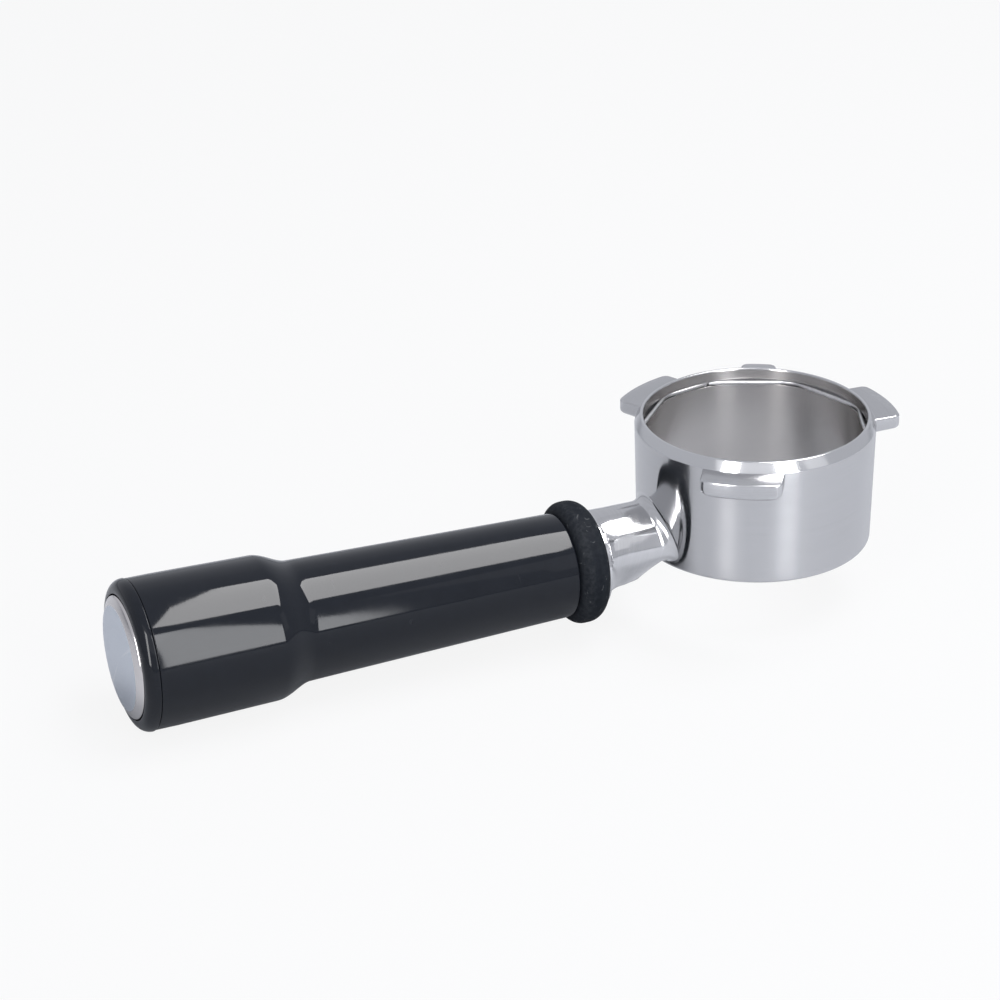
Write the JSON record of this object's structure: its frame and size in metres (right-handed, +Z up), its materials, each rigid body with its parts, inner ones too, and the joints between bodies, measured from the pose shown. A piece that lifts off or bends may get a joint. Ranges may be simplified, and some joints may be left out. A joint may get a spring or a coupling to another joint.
{
  "type": "bottomless portafilter",
  "caption": "Bottomless espresso portafilter: open steel filter ring with bayonet lugs, basket spring, rubber collar and a gloss black handle with a steel end disc.",
  "frame": {"origin": "centre of the filter opening, in the plane of the rim that seals against the group head", "axes": "+Z up out of the filter opening towards the group head; -X along the handle; +Y to the left, looking from the handle's end towards the ring"},
  "size_m": [0.21, 0.0724, 0.0506],
  "materials": {
    "body_steel": "stainless steel: polished rim, lugs and neck, finely brushed wall",
    "spring_steel": "bright drawn stainless wire",
    "collar_rubber": "matte black rubber with faint scuffs",
    "handle_black": "deep gloss black moulded plastic",
    "core_aluminium": "plain turned aluminium, hidden inside the handle",
    "plated_steel": "zinc plated steel, hidden inside the handle",
    "pad_foam": "pale adhesive foam, hidden behind the disc",
    "disc_steel": "satin steel face with a bright bevelled edge"
  },
  "bodies": {
    "portafilter": {"portafilter_body": "body_steel", "neck_collar": "collar_rubber", "handle_shell": "handle_black", "handle_core": "core_aluminium", "key_pin": "plated_steel", "handle_bolt": "plated_steel", "flat_washer": "plated_steel", "lock_washer": "plated_steel", "end_cap": "handle_black", "disc_pad": "pad_foam", "end_disc": "disc_steel"},
    "spring": {"basket_spring": "spring_steel"}
  },
  "joints": [
    {"name": "spring_turn", "type": "hinge", "parent": "portafilter", "child": "spring", "pos_m": [0, 0, -0.0036], "axis": [0, 0, 1], "continuous": true}
  ]
}
